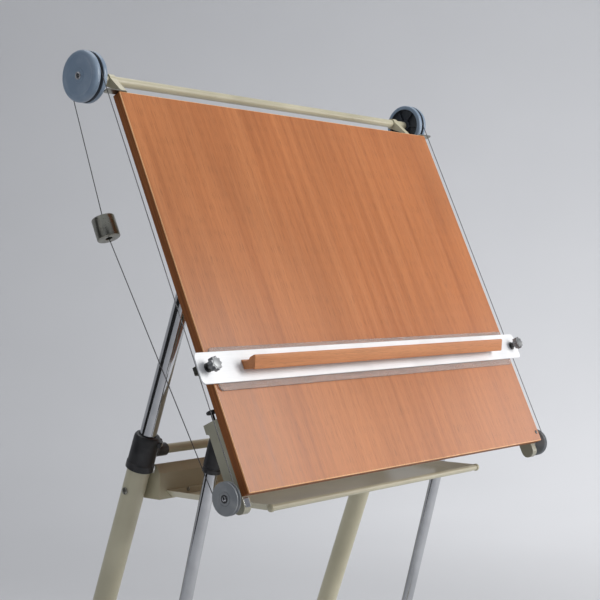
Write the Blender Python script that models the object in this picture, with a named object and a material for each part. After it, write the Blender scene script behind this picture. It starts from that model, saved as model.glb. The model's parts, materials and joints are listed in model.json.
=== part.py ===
"""Drafting table: a veneered board on a telescopic steel stand, with a cable-guided ruler.

World frame: +X to the user's right, +Y to the back, +Z up, floor at Z = 0, metres.
Board pieces are placed in the board's own frame: X, then V up the slope, then N out of the face.
"""
import math

import bmesh
import bpy
from mathutils import Matrix, Vector

TOUCH = 0.0003          # gap left between pieces that touch
ROUND = 24              # sides of a tube

# Board
BOARD_W = 0.950
BOARD_H = 0.750
BOARD_T = 0.019
TILT = math.radians(65.6)
EDGE_Y = -0.330         # lower front edge of the board
EDGE_Z = 0.800

# Legs and uprights
LEG_X = 0.3735
LEG_R = 0.022
LEG_LEAN = math.radians(20.3)
LEG_Y_AT_EDGE = 0.367   # leg axis behind the board's lower edge, at the edge's height
UPRIGHT_R = 0.016
UPRIGHT_BORE = 0.0005   # radial play of the upright in the leg
PIVOT_N = -0.055        # tilt pivot behind the drawing surface
INSERTION = 0.330       # length of upright inside the leg at rest
LOCK_TURN = math.radians(40)    # lock knob from the rear towards the middle

# Stays
STAY_R = 0.012
STAY_BORE = 0.0113
STAY_ROD_R = 0.0045
STAY_ROD_LENGTH = 0.370
STAY_LEAN = math.radians(15.1)
STAY_Y_AT_EDGE = 0.1846
STAY_PIN_RISE = 0.185   # upper stay pin above the board's lower edge
STAY_MOUTH_RISE = 0.070  # top of the stay tube above the board's lower edge
STAY_FOOT_Z = 0.085     # lower pin of the stay tube above the floor
STAY_BLOCK_Z = 0.062    # pin of the swivel block above the floor

# Feet
FOOT_W = 0.042
FOOT_H = 0.040
FOOT_FRONT = -0.410
FOOT_BACK = 0.410
PAD_H = 0.008

# Cables and pulleys, in the board's frame
CABLE_X = 0.4975
CABLE_R = 0.0008
TOP_V, TOP_N, TOP_WRAP = 0.8035, -0.048, 0.042
LOW_V, LOW_N, LOW_WRAP = 0.004, -0.031, 0.025
WEIGHT_V, WEIGHT_N = 0.5325, -0.1105
WEIGHT_R, WEIGHT_L = 0.021, 0.040
SHAFT_R = 0.009

# Ruler
RULER_V = 0.2183
RULER_HALF = 0.509
RULER_H = 0.0565
KNOB_X = 0.486

SIDES = (("left", -1), ("right", 1))

for old in list(bpy.data.objects):
    bpy.data.objects.remove(old)


# ---------------------------------------------------------------- materials

def paint(name, colour, roughness, metallic=0.0):
    """A Principled material with one colour."""
    material = bpy.data.materials.new(name)
    material.use_nodes = True
    shader = material.node_tree.nodes["Principled BSDF"]
    shader.inputs["Base Color"].default_value = (*colour, 1.0)
    shader.inputs["Roughness"].default_value = roughness
    shader.inputs["Metallic"].default_value = metallic
    return material


VENEER = paint("veneer", (0.50, 0.24, 0.12), 0.45)
BEECH = paint("beech", (0.60, 0.27, 0.12), 0.5)
CREAM = paint("cream_paint", (0.62, 0.59, 0.45), 0.4)
CHROME = paint("chrome", (0.72, 0.73, 0.75), 0.08, 1.0)
STEEL = paint("steel", (0.45, 0.45, 0.42), 0.3, 1.0)
ALUMINIUM = paint("aluminium", (0.85, 0.86, 0.87), 0.35, 1.0)
ACRYLIC = paint("acrylic", (0.75, 0.70, 0.68), 0.1)
BLUE_GREY = paint("pulley_plastic", (0.28, 0.33, 0.40), 0.4)
GREY = paint("grey_plastic", (0.30, 0.32, 0.34), 0.4)
BLACK = paint("black_plastic", (0.02, 0.02, 0.025), 0.45)
RUBBER = paint("rubber", (0.03, 0.03, 0.03), 0.8)
CABLE = paint("steel_cable", (0.10, 0.10, 0.11), 0.4, 1.0)


# ---------------------------------------------------------------- frames

def frame(name, location, rotation_x=0.0, parent=None):
    """An empty that holds a joint axis or a local frame."""
    empty = bpy.data.objects.new(name, None)
    empty.location = location
    empty.rotation_euler = (rotation_x, 0.0, 0.0)
    empty.parent = parent
    bpy.context.scene.collection.objects.link(empty)
    return empty


def leg_y(z):
    """World Y of the leg axis at height z."""
    return EDGE_Y + LEG_Y_AT_EDGE - (z - EDGE_Z) * math.tan(LEG_LEAN)


def stay_y(z):
    """World Y of the stay axis at height z."""
    return EDGE_Y + STAY_Y_AT_EDGE - (z - EDGE_Z) * math.tan(STAY_LEAN)


def pivot_height():
    """Height at which the leg axis lies PIVOT_N behind the drawing surface."""
    drop = LEG_Y_AT_EDGE * math.sin(TILT) + PIVOT_N
    gain = math.tan(LEG_LEAN) * math.sin(TILT) + math.cos(TILT)
    return EDGE_Z + drop / gain


PIVOT_Z = pivot_height()
PIVOT_Y = leg_y(PIVOT_Z)
PIVOT_V = (PIVOT_Y - EDGE_Y) * math.cos(TILT) + (PIVOT_Z - EDGE_Z) * math.sin(TILT)
STAY_PIN_Z = EDGE_Z + STAY_PIN_RISE
STAY_PIN_Y = stay_y(STAY_PIN_Z)
STAY_PIN_V = (STAY_PIN_Y - EDGE_Y) * math.cos(TILT) + STAY_PIN_RISE * math.sin(TILT)
STAY_PIN_N = STAY_PIN_RISE * math.cos(TILT) - (STAY_PIN_Y - EDGE_Y) * math.sin(TILT)

carriage_axis = frame("carriage_axis", (0, PIVOT_Y, PIVOT_Z), LEG_LEAN)
tilt_axis = frame("tilt_axis", (0, PIVOT_Y, PIVOT_Z), TILT)
board_frame = frame("board_frame", (0, -PIVOT_V, -PIVOT_N), 0.0, tilt_axis)
shaft_axis = frame("shaft_axis", (0, TOP_V, TOP_N), 0.0, board_frame)
stay_axis = frame("stay_axis", (0, STAY_PIN_Y, STAY_PIN_Z), STAY_LEAN)
stay_block_axis = frame("stay_block_axis", (0, stay_y(STAY_BLOCK_Z), STAY_BLOCK_Z), STAY_LEAN)
stay_foot_axis = frame("stay_foot_axis", (0, stay_y(STAY_FOOT_Z), STAY_FOOT_Z), STAY_LEAN)

AXIS_X = (0.0, math.pi / 2, 0.0)              # turns local Z to X
AXIS_V = (-math.pi / 2, 0.0, 0.0)             # turns local Z to the frame's Y
SIDE_VIEW = (math.pi / 2, 0.0, math.pi / 2)   # outline X, Y becomes the frame's Y, Z


# ---------------------------------------------------------------- solids

def link(name, mesh, material, parent=None, location=(0, 0, 0), rotation=(0, 0, 0)):
    """Put a mesh in the scene as one named piece."""
    piece = bpy.data.objects.new(name, mesh)
    piece.data.materials.append(material)
    piece.location = location
    piece.rotation_euler = rotation
    piece.parent = parent
    bpy.context.scene.collection.objects.link(piece)
    return piece


def to_mesh(name, bm, smooth=True):
    """Close a bmesh off as a mesh with outward faces."""
    bmesh.ops.recalc_face_normals(bm, faces=bm.faces)
    mesh = bpy.data.meshes.new(name)
    bm.to_mesh(mesh)
    bm.free()
    if smooth:
        mesh.shade_smooth()
        mesh.set_sharp_from_angle(angle=math.radians(35))
    return mesh


def turned(name, profile, steps=ROUND, closed=False):
    """Turn a profile of (radius, height) about Z. A closed profile leaves a bore."""
    bm = bmesh.new()
    points = [bm.verts.new((radius, 0.0, height)) for radius, height in profile]
    edges = [bm.edges.new(pair) for pair in zip(points, points[1:])]
    if closed:
        edges.append(bm.edges.new((points[-1], points[0])))
    bmesh.ops.spin(bm, geom=points + edges, cent=(0, 0, 0), axis=(0, 0, 1),
                   angle=2 * math.pi, steps=steps, use_merge=True)
    bmesh.ops.remove_doubles(bm, verts=bm.verts, dist=0.00001)
    return to_mesh(name, bm)


def tube(name, outer, inner, bottom, top, steps=ROUND, plug=0.0):
    """A round tube along Z, open at the top and closed below by a plug."""
    floor = bottom + plug
    if plug:
        return turned(name, [(0, bottom), (outer, bottom), (outer, top), (inner, top), (inner, floor),
                             (0, floor)], steps)
    return turned(name, [(outer, bottom), (outer, top), (inner, top), (inner, bottom)], steps, True)


def rod(name, radius, bottom, top, steps=ROUND, chamfer=0.0008):
    """A solid round bar along Z with chamfered ends."""
    return turned(name, [(0, bottom), (radius - chamfer, bottom), (radius, bottom + chamfer),
                         (radius, top - chamfer), (radius - chamfer, top), (0, top)], steps)


def block(name, low, high, bevel=0.001):
    """A box between two corners with rounded edges."""
    bm = bmesh.new()
    bmesh.ops.create_cube(bm, size=1.0)
    size = Vector(high) - Vector(low)
    middle = (Vector(high) + Vector(low)) / 2
    bmesh.ops.transform(bm, matrix=Matrix.LocRotScale(middle, None, size), verts=bm.verts)
    if bevel:
        bmesh.ops.bevel(bm, geom=bm.edges[:], offset=bevel, segments=2, profile=0.5, affect="EDGES")
    return to_mesh(name, bm)


def arc(centre, radius, start, end, count):
    """Points on an arc, angles in degrees."""
    span = [math.radians(start + (end - start) * i / count) for i in range(count + 1)]
    return [(centre[0] + radius * math.cos(a), centre[1] + radius * math.sin(a)) for a in span]


def round_rect(low, high, radius, count=4):
    """Outline of a rectangle with round corners."""
    corners = (((high[0], high[1]), 0), ((low[0], high[1]), 90), ((low[0], low[1]), 180),
               ((high[0], low[1]), 270))
    outline = []
    for (x, y), start in corners:
        centre = (x - math.copysign(radius, x - (low[0] + high[0]) / 2),
                  y - math.copysign(radius, y - (low[1] + high[1]) / 2))
        outline += arc(centre, radius, start, start + 90, count)
    return outline


def plate(name, outline, low, high, holes=()):
    """Extrude an outline in XY from Z = low to high, with round holes (x, y, radius)."""
    bm = bmesh.new()
    loops = [outline]
    for x, y, radius in holes:
        loops.append(arc((x, y), radius, 0, 360, 16)[:-1])
    edges = []
    for loop in loops:
        points = [bm.verts.new((x, y, low)) for x, y in loop]
        edges += [bm.edges.new(pair) for pair in zip(points, points[1:] + points[:1])]
    bmesh.ops.triangle_fill(bm, edges=edges, use_beauty=True)
    extruded = bmesh.ops.extrude_face_region(bm, geom=bm.faces[:])
    moved = [item for item in extruded["geom"] if isinstance(item, bmesh.types.BMVert)]
    bmesh.ops.translate(bm, vec=(0, 0, high - low), verts=moved)
    return to_mesh(name, bm)


def combine(piece, other_mesh, operation, location=(0, 0, 0), rotation=(0, 0, 0), parent=None):
    """Add or cut another shape with a Boolean; the shape stays as a hidden guide."""
    guide = bpy.data.objects.new(f"{piece.name}_{operation.lower()}", other_mesh)
    guide.location = location
    guide.rotation_euler = rotation
    guide.parent = parent
    guide.hide_render = True
    guide.display_type = "WIRE"
    bpy.context.scene.collection.objects.link(guide)
    modifier = piece.modifiers.new(operation.title(), "BOOLEAN")
    modifier.operation = operation
    modifier.object = guide
    modifier.solver = "EXACT"


# ---------------------------------------------------------------- base

def make_foot(side, sign):
    """Foot beam with a fork for the stay, and its two rubber pads."""
    x = sign * LEG_X
    half = FOOT_W / 2
    low = (x - half, FOOT_FRONT, PAD_H)
    high = (x + half, FOOT_BACK, PAD_H + FOOT_H)
    foot = link(f"foot_{side}", block("foot", low, high, 0.006), CREAM)
    cheek = round_rect((-0.018, -0.026), (0.018, 0.014), 0.012)
    inner, outer = 0.0120, 0.0160
    pin_y = stay_y(STAY_BLOCK_Z)
    for start in (inner, -outer):
        combine(foot, plate("cheek", cheek, start, start + outer - inner, [(0, 0, 0.0054)]), "UNION",
                (x, pin_y, STAY_BLOCK_Z), SIDE_VIEW)
    for end, y in (("front", FOOT_FRONT + 0.045), ("rear", FOOT_BACK - 0.045)):
        pad = round_rect((x - 0.018, y - 0.030), (x + 0.018, y + 0.030), 0.008)
        link(f"foot_pad_{end}_{side}", plate("pad", pad, 0.0, PAD_H - TOUCH), RUBBER)


def make_leg(side, sign):
    """Lower leg tube, its collar, the side screw and the lock knob."""
    x = sign * LEG_X
    foot_top = PAD_H + FOOT_H + TOUCH
    axis = frame(f"leg_axis_{side}", (x, leg_y(foot_top), foot_top), LEG_LEAN)
    collar_low = (EDGE_Z - 0.003 - foot_top) / math.cos(LEG_LEAN)
    collar_high = (EDGE_Z + 0.062 - foot_top) / math.cos(LEG_LEAN)
    bore = UPRIGHT_R + UPRIGHT_BORE
    leg_mesh = tube("leg", LEG_R, bore, 0.0, collar_high - 0.012, plug=0.030)
    for vertex in leg_mesh.vertices:
        if vertex.co.z < 0.001:
            vertex.co.z -= vertex.co.y * math.tan(LEG_LEAN)
    link(f"leg_{side}", leg_mesh, CREAM, axis)

    sleeve = 0.0265
    collar_profile = [(LEG_R + TOUCH, collar_low), (sleeve, collar_low), (sleeve, collar_low + 0.012),
                      (sleeve - 0.0015, collar_high - 0.006), (sleeve - 0.0035, collar_high),
                      (bore, collar_high), (bore, collar_high - 0.0115), (LEG_R + TOUCH, collar_high - 0.0115)]
    collar = link(f"collar_{side}", turned("collar", collar_profile, ROUND, True), BLACK, axis)
    boss_z = (EDGE_Z + 0.029 - foot_top) / math.cos(LEG_LEAN)
    combine(collar, rod("boss", 0.0125, 0.0245, 0.055, 20), "UNION", (0, 0, boss_z),
            (0, -sign * math.pi / 2, 0), axis)
    lock_z = boss_z + 0.006
    lock_turn = sign * LOCK_TURN
    combine(collar, rod("lock_boss", 0.009, 0.0245, 0.034, 16), "UNION", (0, 0, lock_z),
            (-math.pi / 2, 0, lock_turn), axis)
    reach = 0.034 + TOUCH
    knob_axis = frame(f"lock_axis_{side}", (-reach * math.sin(lock_turn), reach * math.cos(lock_turn), lock_z),
                      -math.pi / 2, axis)
    knob_axis.rotation_euler.z = lock_turn
    link(f"lock_knob_{side}", lobed("lock_knob", 0.017, 0.0025, 5, 0.0, 0.018), BLACK, knob_axis)

    screw_z = (EDGE_Z - 0.0443 - foot_top) / math.cos(LEG_LEAN)
    head = turned("leg_screw", [(0, 0), (0.007, 0), (0.007, 0.0012), (0.005, 0.0026), (0, 0.0030)], 16)
    link(f"leg_screw_{side}", head, STEEL, axis, (sign * (LEG_R + TOUCH), 0, screw_z),
         (0, sign * math.pi / 2, 0))


def lobed(name, radius, depth, lobes, bottom, top, steps_per_lobe=6):
    """A knob with round lobes: a wavy outline extruded along Z."""
    count = lobes * steps_per_lobe
    outline = []
    for i in range(count):
        angle = 2 * math.pi * i / count
        reach = radius - depth * (0.5 - 0.5 * math.cos(lobes * angle))
        outline.append((reach * math.cos(angle), reach * math.sin(angle)))
    return plate(name, outline, bottom, top)


def make_beams():
    """Stretcher between the feet, tie bar between the collars, crossbeam and tray."""
    inner_foot = LEG_X - FOOT_W / 2 - TOUCH
    middle = PAD_H + FOOT_H / 2
    stretcher = rod("stretcher", 0.0165, -inner_foot, inner_foot)
    link("stretcher", stretcher, CREAM, None, (0, leg_y(middle), middle), AXIS_X)

    bar_z = EDGE_Z + 0.029
    reach = LEG_X - 0.055 - TOUCH
    link("tie_bar", rod("tie_bar", 0.009, -reach, reach, 20), CREAM, None, (0, leg_y(bar_z), bar_z), AXIS_X)

    half = LEG_X - 0.0205
    front, back = EDGE_Y + 0.335, EDGE_Y + 0.377
    bottom, shoulder, crest = EDGE_Z - 0.0615, EDGE_Z - 0.0125, EDGE_Z + 0.004
    wall = 0.0025
    section = [(front, bottom), (back, bottom), (back, shoulder), (front + 0.014, shoulder),
               (front + 0.013, crest), (front + 0.0105, crest), (front, shoulder)]
    beam = link("crossbeam", plate("crossbeam", section, -half, half), CREAM, None, (0, 0, 0), SIDE_VIEW)
    hollow = [(front + wall, bottom - wall), (back - wall, bottom - wall), (back - wall, shoulder - wall),
              (front + wall, shoulder - wall)]
    combine(beam, plate("beam_hollow", hollow, -half + 0.003, half - 0.003), "DIFFERENCE", (0, 0, 0), SIDE_VIEW)
    for side, sign in SIDES:
        saddle = rod("saddle", LEG_R + 2 * TOUCH, -0.10, 0.10, 32)
        combine(beam, saddle, "DIFFERENCE", (sign * LEG_X, leg_y(bottom), bottom), (LEG_LEAN, 0, 0))


def make_tray():
    """Shallow sheet-metal pan with sloping ends and a rolled front lip."""
    back = EDGE_Y + 0.335 - 2 * TOUCH
    front = EDGE_Y + 0.078
    floor = EDGE_Z - 0.0585
    rim = EDGE_Z - 0.0455
    wall = 0.002
    outer_floor = (0.322, front + 0.004, back)
    outer_rim = (0.336, front, back)
    levels = ((outer_floor, 0.0, floor), (outer_rim, 0.0, rim), (outer_rim, wall, rim),
              (outer_floor, wall, floor + wall))
    bm = bmesh.new()
    rings = []
    for (half, y_front, y_back), inset, z in levels:
        x = half - inset
        corners = ((-x, y_front + inset), (x, y_front + inset), (x, y_back - inset), (-x, y_back - inset))
        rings.append([bm.verts.new((cx, cy, z)) for cx, cy in corners])
    for lower, upper in zip(rings, rings[1:]):
        for i in range(4):
            bm.faces.new((lower[i], lower[(i + 1) % 4], upper[(i + 1) % 4], upper[i]))
    bm.faces.new(rings[0])
    bm.faces.new(rings[-1])
    tray = link("tray", to_mesh("tray", bm), CREAM)
    lip = rod("lip", 0.006, -0.333, 0.333, 12, 0.001)
    combine(tray, lip, "UNION", (0, front, EDGE_Z - 0.0510), AXIS_X)


# ---------------------------------------------------------------- uprights and stays

def make_upright(side, sign):
    """Chrome upright with the head that carries the board's pivot."""
    pivot_above_leg = (PIVOT_Z - EDGE_Z - 0.062) / math.cos(LEG_LEAN)
    bottom = -(pivot_above_leg + INSERTION)
    top = -0.022
    x = sign * LEG_X
    upright = tube("upright", UPRIGHT_R, UPRIGHT_R - 0.002, bottom, top, plug=0.004)
    link(f"upright_{side}", upright, CHROME, carriage_axis, (x, 0, 0))
    eye = arc((0, 0), 0.0145, -30, 210, 14) + [(-0.013, -0.0217), (0.013, -0.0217)]
    head = link(f"pivot_head_{side}", plate("pivot_head", eye, -0.0145, 0.0145), BLACK,
                carriage_axis, (x, 0, 0), SIDE_VIEW)
    combine(head, rod("trunnion", 0.006, -0.0215, 0.0215, 16), "UNION", (x, 0, 0), AXIS_X, carriage_axis)
    neck = rod("neck", UPRIGHT_R - 0.002 - TOUCH, -0.050, -0.021, ROUND)
    combine(head, neck, "UNION", (x, 0, 0), (0, 0, 0), carriage_axis)


def make_stay(side, sign):
    """Telescopic stay: swivel block, chrome tube, black collar and the rod pinned to the board."""
    x = sign * LEG_X
    tube_length = (EDGE_Z + STAY_MOUTH_RISE - STAY_FOOT_Z) / math.cos(STAY_LEAN)
    stay = link(f"stay_tube_{side}", tube("stay_tube", STAY_R, STAY_BORE, 0.013, tube_length, plug=0.012),
                CHROME, stay_foot_axis, (x, 0, 0))
    eye = arc((0, 0), 0.0095, 180, 360, 10) + [(0.0095, 0.017), (-0.0095, 0.017)]
    combine(stay, plate("tube_eye", eye, -0.0045, 0.0045), "UNION", (x, 0, 0), SIDE_VIEW, stay_foot_axis)
    combine(stay, rod("tube_pin", 0.004, -0.0105, 0.0105, 16, 0.0004), "UNION", (x, 0, 0), AXIS_X,
            stay_foot_axis)

    reach = (STAY_FOOT_Z - STAY_BLOCK_Z) / math.cos(STAY_LEAN)
    side_plate = arc((0, 0), 0.0105, 180, 360, 10) + arc((0, reach), 0.0105, 0, 180, 10)
    block_piece = link(f"stay_block_{side}", plate("stay_block", side_plate, -0.0115, 0.0115), BLACK,
                       stay_block_axis, (x, 0, 0), SIDE_VIEW)
    slot = [(-0.02, reach - 0.0105), (0.02, reach - 0.0105), (0.02, 0.06), (-0.02, 0.06)]
    combine(block_piece, plate("slot", slot, -0.0050, 0.0050), "DIFFERENCE", (x, 0, 0), SIDE_VIEW,
            stay_block_axis)
    combine(block_piece, rod("tube_bore", 0.0044, -0.05, 0.05, 16), "DIFFERENCE", (x, 0, reach), AXIS_X,
            stay_block_axis)
    combine(block_piece, rod("block_pin", 0.005, -0.0225, 0.0225, 16), "UNION", (x, 0, 0), AXIS_X,
            stay_block_axis)

    low, high = tube_length - 0.066, tube_length + 0.006
    profile = [(STAY_R + TOUCH, low), (0.0168, low), (0.0162, high - 0.016), (0.0145, high - 0.005),
               (0.0125, high), (STAY_BORE, high), (STAY_BORE, tube_length + TOUCH),
               (STAY_R + TOUCH, tube_length + TOUCH)]
    link(f"stay_collar_{side}", turned("stay_collar", profile, ROUND, True), BLACK, stay_foot_axis, (x, 0, 0))

    inner = link(f"stay_rod_{side}", rod("stay_rod", STAY_ROD_R, -STAY_ROD_LENGTH, -0.006, 16), CHROME,
                 stay_axis, (x, 0, 0))
    eye = arc((0, 0), 0.0105, 0, 360, 20)[:-1]
    combine(inner, plate("rod_eye", eye, -0.0100, 0.0100), "UNION", (x, 0, 0), SIDE_VIEW, stay_axis)
    combine(inner, rod("rod_pin", 0.005, -0.0215, 0.0215, 16), "UNION", (x, 0, 0), AXIS_X, stay_axis)


# ---------------------------------------------------------------- board

def make_rail(side, sign):
    """Folded steel channel on the board's back that carries the upright's and the stay's pins."""
    inner, wall = 0.0182, 0.0025
    outer = inner + wall
    face = -BOARD_T - TOUCH
    depth = face - 0.050
    section = [(-outer, face), (-outer, depth), (-inner, depth), (-inner, face - wall),
               (inner, face - wall), (inner, depth), (outer, depth), (outer, face)]
    x = sign * LEG_X
    rail = link(f"back_rail_{side}", plate("back_rail", section, -0.720, -0.010), CREAM, board_frame,
                (x, 0, 0), (math.pi / 2, 0, 0))
    for v, n, radius in ((PIVOT_V, PIVOT_N, 0.0064), (STAY_PIN_V, STAY_PIN_N, 0.0054)):
        combine(rail, rod("pin_bore", radius, -0.05, 0.05, 20), "DIFFERENCE", (x, v, n), AXIS_X, board_frame)


def make_shaft():
    """Top shaft tube, its bearings, both top pulleys and their screws."""
    reach = CABLE_X - 0.0135 - TOUCH
    link("top_shaft", rod("top_shaft", SHAFT_R, -reach, reach, 20), CREAM, shaft_axis, (0, 0, 0), AXIS_X)
    rim, groove = 0.0470, TOP_WRAP - CABLE_R - TOUCH
    profile = [(0, -0.0135), (0.013, -0.0135), (0.013, -0.006), (0.036, -0.003), (0.038, -0.0135),
               (0.0455, -0.0135), (rim, -0.011), (rim, -0.0035), (groove, -0.0013), (groove, 0.0013),
               (rim, 0.0035), (rim, 0.011), (0.0445, 0.0150), (0.038, 0.0165), (0.034, 0.0155), (0, 0.0155)]
    screw = [(0, 0), (0.0055, 0), (0.0055, 0.0015), (0.004, 0.0030), (0, 0.0034)]
    for side, sign in SIDES:
        turn = (0, sign * math.pi / 2, 0)
        link(f"top_pulley_{side}", turned("top_pulley", profile, 32), BLUE_GREY, shaft_axis,
             (sign * CABLE_X, 0, 0), turn)
        link(f"pulley_screw_{side}", turned("pulley_screw", screw, 14), STEEL, shaft_axis,
             (sign * (CABLE_X + 0.0155 + TOUCH), 0, 0), turn)
        outline = [(BOARD_H - 0.045, -BOARD_T - TOUCH), (BOARD_H - 0.045, -BOARD_T - 0.005),
                   (BOARD_H + 0.020, -BOARD_T - 0.010)]
        outline += arc((TOP_V, TOP_N), 0.0118, 200, 460, 14)
        outline += [(BOARD_H + 0.014, -BOARD_T - TOUCH)]
        middle = sign * 0.440
        bearing = plate("shaft_bearing", outline, middle - 0.007, middle + 0.007,
                        [(TOP_V, TOP_N, SHAFT_R + TOUCH)])
        link(f"shaft_bearing_{side}", bearing, CREAM, board_frame, (0, 0, 0), SIDE_VIEW)


def make_tension(side, sign):
    """Lower pulley, the bar that carries it and its thumb screw; the cable guide above."""
    front, back = -BOARD_T - TOUCH, -0.0475
    middle = (front + back) / 2
    half = (front - back) / 2
    outline = arc((-0.012, middle), half, 90, 270, 8)
    outline += [(0.118, back), (0.121, back - 0.006), (0.137, back - 0.006), (0.137, front)]
    low, high = (0.458, 0.474) if sign > 0 else (-0.474, -0.458)
    link(f"tension_bar_{side}", plate("tension_bar", outline, low, high), CREAM, board_frame,
         (0, 0, 0), SIDE_VIEW)
    groove, rim = LOW_WRAP - CABLE_R - TOUCH, 0.0285
    profile = [(0, 0.474 + TOUCH - CABLE_X), (0.007, 0.474 + TOUCH - CABLE_X), (0.007, -0.0050),
               (rim - 0.002, -0.0050), (rim, -0.0038), (rim, -0.0026), (groove, -0.0011), (groove, 0.0011),
               (rim, 0.0026), (rim, 0.0043), (rim - 0.0012, 0.0055), (0.0062, 0.0055), (0.0055, 0.0080),
               (0, 0.0085)]
    link(f"lower_pulley_{side}", turned("lower_pulley", profile, 28), GREY, board_frame,
         (sign * CABLE_X, LOW_V, LOW_N), (0, sign * math.pi / 2, 0))
    screw = [(0, 0), (0.003, 0), (0.003, 0.009), (0.0085, 0.0095), (0.0095, 0.013), (0.0085, 0.017),
             (0.004, 0.019), (0, 0.019)]
    link(f"tension_screw_{side}", turned("tension_screw", screw, 18), BLACK, board_frame,
         (sign * 0.466, 0.137 + TOUCH, middle), AXIS_V)
    guide = round_rect((0.455, -0.0130), (0.5030, 0.0010), 0.004, 3)
    guide = [(sign * x, n) for x, n in guide]
    front_run = TOP_N + TOP_WRAP
    eye = plate("cable_guide", guide, -BOARD_H - 0.0023, -BOARD_H - TOUCH,
                [(sign * CABLE_X, front_run, CABLE_R + TOUCH)])
    link(f"cable_guide_{side}", eye, STEEL, board_frame, (0, 0, 0), (math.pi / 2, 0, 0))


def tangent_angle(centre, radius, point, turn):
    """Angle on a circle where a line to the point leaves it; turn is +1 or -1."""
    offset = Vector(point) - Vector(centre)
    return math.atan2(offset.y, offset.x) + turn * math.acos(radius / offset.length)


def cable_route():
    """Centre line of one cable in V, N: weight, top pulley, front run, lower pulley, weight."""
    top, low = (TOP_V, TOP_N), (LOW_V, LOW_N)
    upper_end = (WEIGHT_V + WEIGHT_L / 2 + TOUCH, WEIGHT_N)
    lower_end = (WEIGHT_V - WEIGHT_L / 2 - TOUCH, WEIGHT_N)
    leave_top = math.degrees(tangent_angle(top, TOP_WRAP, upper_end, 1)) % 360
    leave_low = math.degrees(tangent_angle(low, LOW_WRAP, lower_end, -1)) % 360
    route = arc(top, TOP_WRAP, leave_top - 360, 90, 16)
    route += arc(low, LOW_WRAP, 90, leave_low, 12)
    return [upper_end] + route + [lower_end]


def make_cable(side, sign):
    """Steel cable, whole, from the weight's top round both pulleys to its underside."""
    curve = bpy.data.curves.new("cable", "CURVE")
    curve.dimensions = "3D"
    curve.bevel_depth = CABLE_R
    curve.bevel_resolution = 2
    curve.use_fill_caps = True
    route = cable_route()
    spline = curve.splines.new("POLY")
    spline.points.add(len(route) - 1)
    for point, (v, n) in zip(spline.points, route):
        point.co = (sign * CABLE_X, v, n, 1.0)
    link(f"cable_{side}", curve, CABLE, board_frame)


def make_weight(side, sign):
    """Turned steel counterweight on the back run of the cable."""
    half = WEIGHT_L / 2
    profile = [(0, -half), (0.0035, -half), (0.0035, -half + 0.004), (0.0065, -half + 0.004),
               (0.0065, -half), (WEIGHT_R - 0.001, -half), (WEIGHT_R, -half + 0.001),
               (WEIGHT_R, half - 0.001), (WEIGHT_R - 0.001, half), (0, half)]
    link(f"counterweight_{side}", turned("counterweight", profile, 28), STEEL, board_frame,
         (sign * CABLE_X, WEIGHT_V, WEIGHT_N), AXIS_V)


def make_ruler():
    """Ruler, clear edge plate, wooden grip, cable clamps and knobs."""
    half = RULER_H / 2
    bottom, top = 0.0045, 0.0075
    blade = round_rect((-RULER_HALF, RULER_V - half), (RULER_HALF, RULER_V + half), 0.010)
    link("ruler", plate("ruler", blade, bottom, top), ALUMINIUM, board_frame)
    clear = round_rect((-0.467, RULER_V - half - 0.0125), (0.467, RULER_V + half + 0.0085), 0.008)
    link("clear_edge", plate("clear_edge", clear, 0.0008, bottom - TOUCH), ACRYLIC, board_frame)
    base = top + TOUCH
    grip = [(-0.0075, 0.0), (0.0098, 0.0), (0.0078, 0.0040), (0.0044, 0.0100), (0.0036, 0.0145),
            (0.0050, 0.0190), (0.0069, 0.0228), (0.0066, 0.0300), (0.0050, 0.0332), (0.0020, 0.0326),
            (-0.0140, 0.0240), (-0.0160, 0.0215), (-0.0152, 0.0180)]
    grip = [(RULER_V + v, base + n) for v, n in grip]
    link("grip", plate("grip", grip, -0.400, 0.400), BEECH, board_frame, (0, 0, 0), SIDE_VIEW)
    front_run = TOP_N + TOP_WRAP
    for side, sign in SIDES:
        near, far = 0.4905, 0.5045
        low, high = (near, far) if sign > 0 else (-far, -near)
        clamp = round_rect((low, front_run - 0.0035), (high, bottom - TOUCH), 0.001, 1)
        mesh = plate("cable_clamp", clamp, -RULER_V - 0.007, -RULER_V + 0.007,
                     [(sign * CABLE_X, front_run, CABLE_R + TOUCH)])
        link(f"cable_clamp_{side}", mesh, STEEL, board_frame, (0, 0, 0), (math.pi / 2, 0, 0))
        knob = link(f"ruler_knob_{side}", lobed("ruler_knob", 0.0118, 0.0014, 8, 0.010, 0.024, 4), STEEL,
                    board_frame, (sign * KNOB_X, RULER_V, base))
        stem = turned("stem", [(0, 0), (0.0085, 0), (0.0085, 0.0025), (0.0045, 0.003), (0.0045, 0.011),
                               (0, 0.011)], 16)
        combine(knob, stem, "UNION", (sign * KNOB_X, RULER_V, base), (0, 0, 0), board_frame)


def make_board():
    """The drawing board itself."""
    mesh = block("drawing_board", (-BOARD_W / 2, 0, -BOARD_T), (BOARD_W / 2, BOARD_H, 0), 0.0008)
    link("drawing_board", mesh, VENEER, board_frame)


make_beams()
make_tray()
make_board()
make_shaft()
make_ruler()
for side_name, side_sign in SIDES:
    make_foot(side_name, side_sign)
    make_leg(side_name, side_sign)
    make_upright(side_name, side_sign)
    make_stay(side_name, side_sign)
    make_rail(side_name, side_sign)
    make_tension(side_name, side_sign)
    make_cable(side_name, side_sign)
    make_weight(side_name, side_sign)
bpy.context.view_layer.update()
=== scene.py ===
"""Looks of the drafting table: finer shapes, procedural finishes, a pale studio and the camera.

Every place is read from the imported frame, in metres. Board pieces use the board's own frame:
X along the width, V up the slope from the lower edge, N out of the drawing surface.
"""
import json
import math
import bmesh
import bpy
from mathutils import Matrix, Vector


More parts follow.
